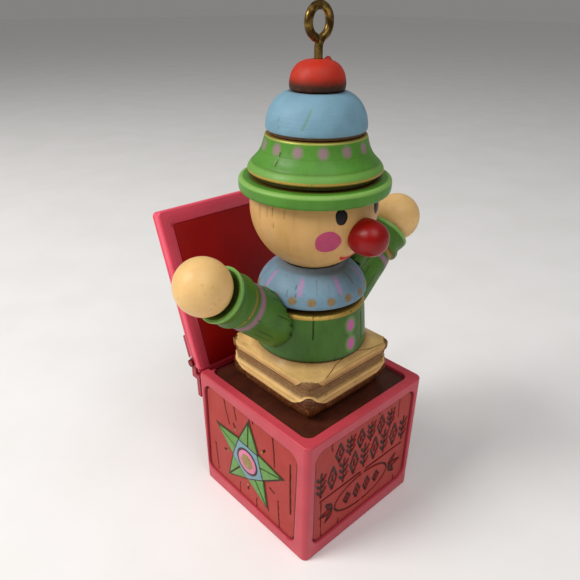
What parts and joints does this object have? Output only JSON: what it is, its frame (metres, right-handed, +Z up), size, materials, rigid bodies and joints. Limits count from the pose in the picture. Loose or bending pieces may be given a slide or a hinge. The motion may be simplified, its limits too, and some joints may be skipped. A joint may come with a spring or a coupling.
{
  "type": "jack in the box",
  "caption": "Small painted jack in the box: sprung figure with hat, ball hands and egg nose on square bellows, hinged lid, hanging eye.",
  "frame": {"origin": "centre of the base, on the surface it stands on", "axes": "+Z up; the figure faces -Y; +X is the figure's own left; the lid is hinged at the rear edge, +Y"},
  "size_m": [0.0616, 0.0471, 0.1025],
  "materials": {
    "pink_frame": "satin painted, moulded",
    "red_panel": "satin painted, carved lines",
    "deep_red_panel": "satin",
    "brown_deck": "dull, wiped",
    "cream_wood": "satin, antiqued in the grooves",
    "face_wood": "satin with faint grain",
    "green_paint": "satin paint over turned wood",
    "blue_paint": "matt paint over turned wood",
    "pompom_red": "satin paint, browned at the foot",
    "nose_red": "gloss",
    "brass": "tarnished wire",
    "spring_steel": "drawn wire",
    "plain_wood": "bare"
  },
  "bodies": {
    "root": {"box_shell": "pink_frame", "front_panel": "red_panel", "right_panel": "red_panel", "rear_panel": "red_panel", "left_panel": "red_panel", "base_plate": "pink_frame", "deck_plate": "brown_deck", "guide_tube": "plain_wood", "hinge_leaf_box_left": "pink_frame", "hinge_leaf_box_right": "pink_frame", "hinge_pin_left": "brass", "hinge_pin_right": "brass", "bellows": "cream_wood", "coil_spring": "spring_steel"},
    "lid": {"lid_shell": "pink_frame", "lid_inner_panel": "deep_red_panel", "lid_outer_panel": "red_panel", "hinge_leaf_lid_left": "pink_frame", "hinge_leaf_lid_right": "pink_frame"},
    "jack": {"guide_rod": "plain_wood", "stop_washer": "plain_wood", "body_drum": "green_paint", "collar": "blue_paint", "neck_peg": "plain_wood", "sleeve_right": "green_paint", "hand_right": "cream_wood", "arm_dowel_right": "plain_wood", "sleeve_left": "green_paint", "hand_left": "cream_wood", "arm_dowel_left": "plain_wood"},
    "head": {"head_ball": "face_wood", "nose": "nose_red", "hat_brim": "green_paint", "hat_flare": "green_paint", "hat_dome": "blue_paint", "pompom": "pompom_red", "hat_dowel": "plain_wood", "screw_eye": "brass"}
  },
  "joints": [
    {"name": "lid_hinge", "type": "hinge", "parent": "root", "child": "lid", "pos_m": [0, 0.0197, 0.0325], "axis": [1, 0, 0], "range_deg": [0, 22]},
    {"name": "jack_spring", "type": "slide", "parent": "root", "child": "jack", "axis": [0, 0, -1], "range_m": [0, 0.004], "stiffness_N_per_m": 150, "springref_m": -0.004, "deforming": ["bellows", "coil_spring"]},
    {"name": "head_turn", "type": "hinge", "parent": "jack", "child": "head", "pos_m": [0, 0, 0.06], "axis": [0, 0, 1], "range_deg": [-70, 70]}
  ]
}
